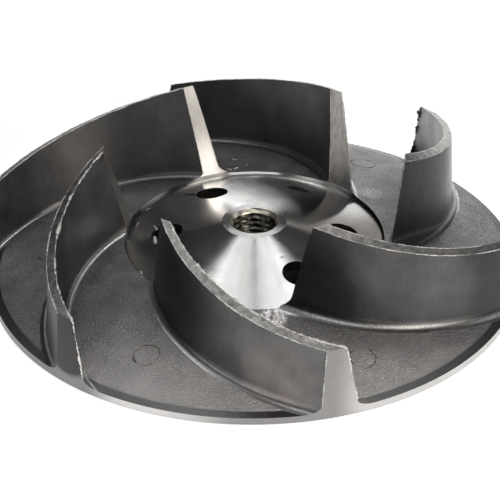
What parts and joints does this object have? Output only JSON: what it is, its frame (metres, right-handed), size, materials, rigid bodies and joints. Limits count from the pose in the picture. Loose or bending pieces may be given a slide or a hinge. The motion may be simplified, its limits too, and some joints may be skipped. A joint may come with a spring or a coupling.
{
  "type": "semi-open pump impeller",
  "caption": "Cast stainless semi-open pump impeller: crowned disc hollow behind, six backward-curved vanes, turned hub with threaded bore and four balance holes.",
  "frame": {"origin": "on the axis of rotation, in the plane of the back face that the impeller rests on", "axes": "+Z along the axis of rotation, out of the eye; the picture looks along +Y, with +X to its right"},
  "size_m": [0.21, 0.21, 0.0558],
  "materials": {
    "cast_stainless": "dark shot-blasted cast skin, with bright turned hub cone, vane edges and rim"
  },
  "bodies": {
    "root": {"impeller_casting": "cast_stainless"}
  },
  "joints": []
}
